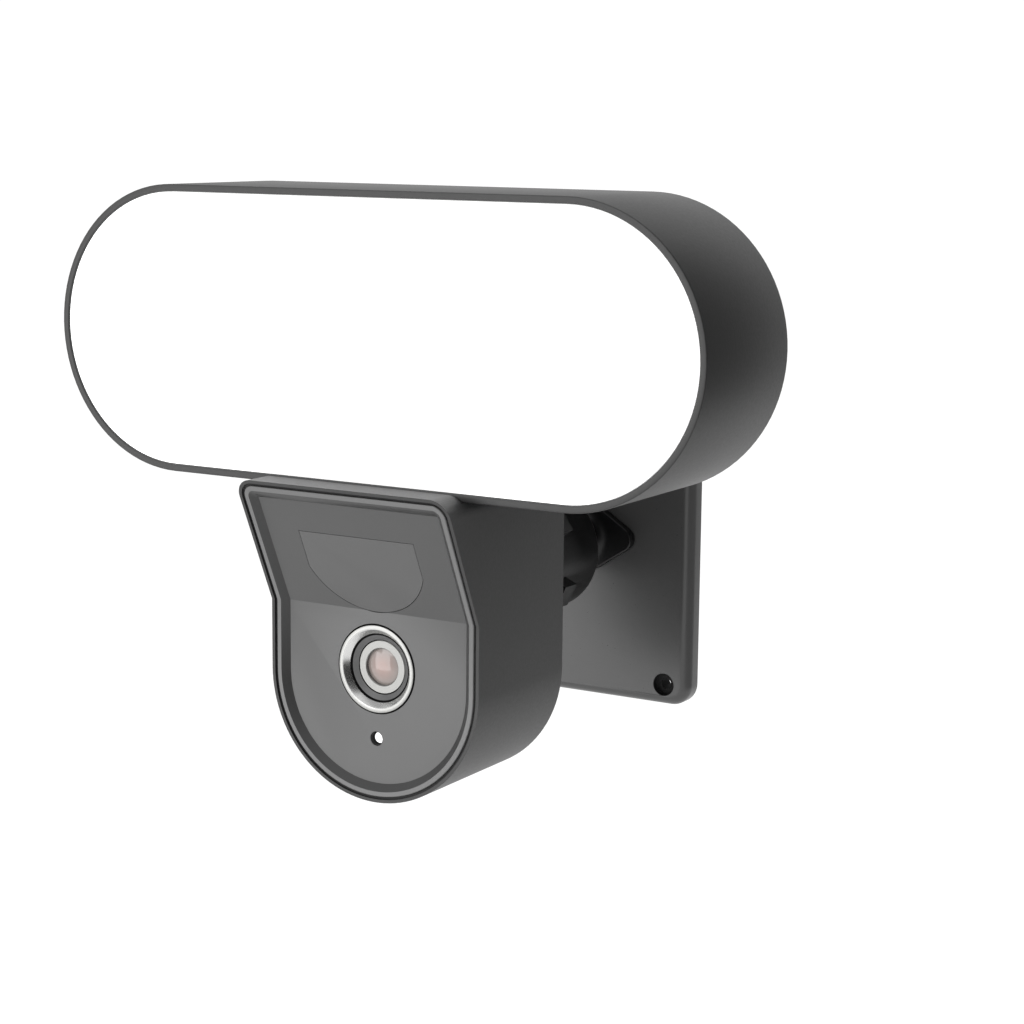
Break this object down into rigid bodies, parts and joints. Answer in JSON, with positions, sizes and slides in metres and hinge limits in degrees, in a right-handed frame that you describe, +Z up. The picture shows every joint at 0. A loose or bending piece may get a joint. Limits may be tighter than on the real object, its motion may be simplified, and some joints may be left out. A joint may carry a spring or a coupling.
{
  "type": "floodlight security camera",
  "caption": "Wall-mounted floodlight camera: a stadium-shaped opal lamp over a round-bottomed camera module with a leaning visor, on a lockable ball joint and wall plate.",
  "frame": {"origin": "centre of the four wall screw holes, on the wall face at the back of the wall plate's gasket", "axes": "+Z up; +Y into the wall, so the lamp and lens face -Y; +X to the right seen from the front"},
  "size_m": [0.2514, 0.1748, 0.2056],
  "materials": {
    "plate_plastic": "fine moulded texture, dark grey, satin",
    "housing_plastic": "fine moulded texture, dark grey, satin",
    "joint_plastic": "moulded glass-filled nylon, near black, satin",
    "bezel_plastic": "smooth moulded grey, semi-gloss",
    "panel_plastic": "smooth moulded grey panel, semi-gloss",
    "window_plastic": "infrared-clear smoky grey, satin",
    "opal_plastic": "opal white diffuser, lit evenly, emissive",
    "rubber": "matt black",
    "seat_plastic": "natural white, low friction",
    "steel": "zinc-plated",
    "aluminium": "milled plate",
    "silver_trim": "bright satin silver",
    "lens_glass": "coated, pinkish reflection",
    "black_plastic": "moulded black",
    "capacitor_sleeve": "shrunk sleeve, dark blue",
    "board_green": "solder mask, green",
    "board_white": "solder mask, white",
    "led_phosphor": "yellow phosphor",
    "light_pipe": "clear, lit white, emissive",
    "copper_film": "flexible printed film"
  },
  "bodies": {
    "wall_mount": {"wall_plate": "plate_plastic", "wall_gasket": "rubber", "cable_grommet": "rubber", "ball_stud": "joint_plastic", "stud_screws": "steel"},
    "pan_seat": {"friction_seat": "seat_plastic"},
    "tilt_cup": {"pressure_cup": "steel"},
    "head": {"socket_arm": "joint_plastic", "arm_screws": "steel", "lamp_housing": "housing_plastic", "lamp_diffuser": "opal_plastic", "diffuser_seal": "rubber", "reflector_frame": "seat_plastic", "led_board": "board_white", "led_chips": "led_phosphor", "heat_plate": "aluminium", "led_screws": "steel", "driver_tray": "seat_plastic", "driver_board": "board_green", "driver_transformer": "black_plastic", "driver_capacitors": "capacitor_sleeve", "vent_plug": "rubber", "join_gasket": "rubber", "join_screws": "steel", "camera_shell": "housing_plastic", "front_bezel": "bezel_plastic", "bezel_seal": "rubber", "face_panel": "panel_plastic", "sensor_window": "window_plastic", "sensor_board": "board_green", "motion_sensor": "steel", "infrared_leds": "black_plastic", "lens_ring": "silver_trim", "lens_barrel": "silver_trim", "lens_glass": "lens_glass", "lens_holder": "black_plastic", "image_sensor": "black_plastic", "camera_board": "board_green", "light_pipe": "light_pipe", "status_led": "led_phosphor", "indicator_board": "board_green", "main_board": "board_green", "board_screws": "steel", "processor_shield": "steel", "wifi_module": "steel", "wifi_antenna": "copper_film", "speaker": "black_plastic", "microphone": "steel", "card_socket": "steel", "card_cover": "joint_plastic", "cover_screws": "steel", "reset_switch": "black_plastic"},
    "collar": {"locking_collar": "joint_plastic"},
    "reset": {"reset_button": "rubber"}
  },
  "joints": [
    {"name": "pan", "type": "hinge", "parent": "wall_mount", "child": "pan_seat", "pos_m": [0, -0.049, 0], "axis": [0, 0, 1], "range_deg": [-25, 25]},
    {"name": "tilt", "type": "hinge", "parent": "pan_seat", "child": "tilt_cup", "pos_m": [0, -0.049, 0], "axis": [1, 0, 0], "range_deg": [-20, 30]},
    {"name": "level", "type": "hinge", "parent": "tilt_cup", "child": "head", "pos_m": [0, -0.049, 0], "axis": [0, 1, 0], "range_deg": [-30, 30]},
    {"name": "collar_turn", "type": "hinge", "parent": "head", "child": "collar", "pos_m": [0, -0.049, 0], "axis": [0, 1, 0], "range_deg": [0, 90]},
    {"name": "reset_press", "type": "slide", "parent": "head", "child": "reset", "axis": [0, -1, 0], "range_m": [0, 0.0006], "stiffness_N_per_m": 800, "springref_m": -0.0006}
  ]
}
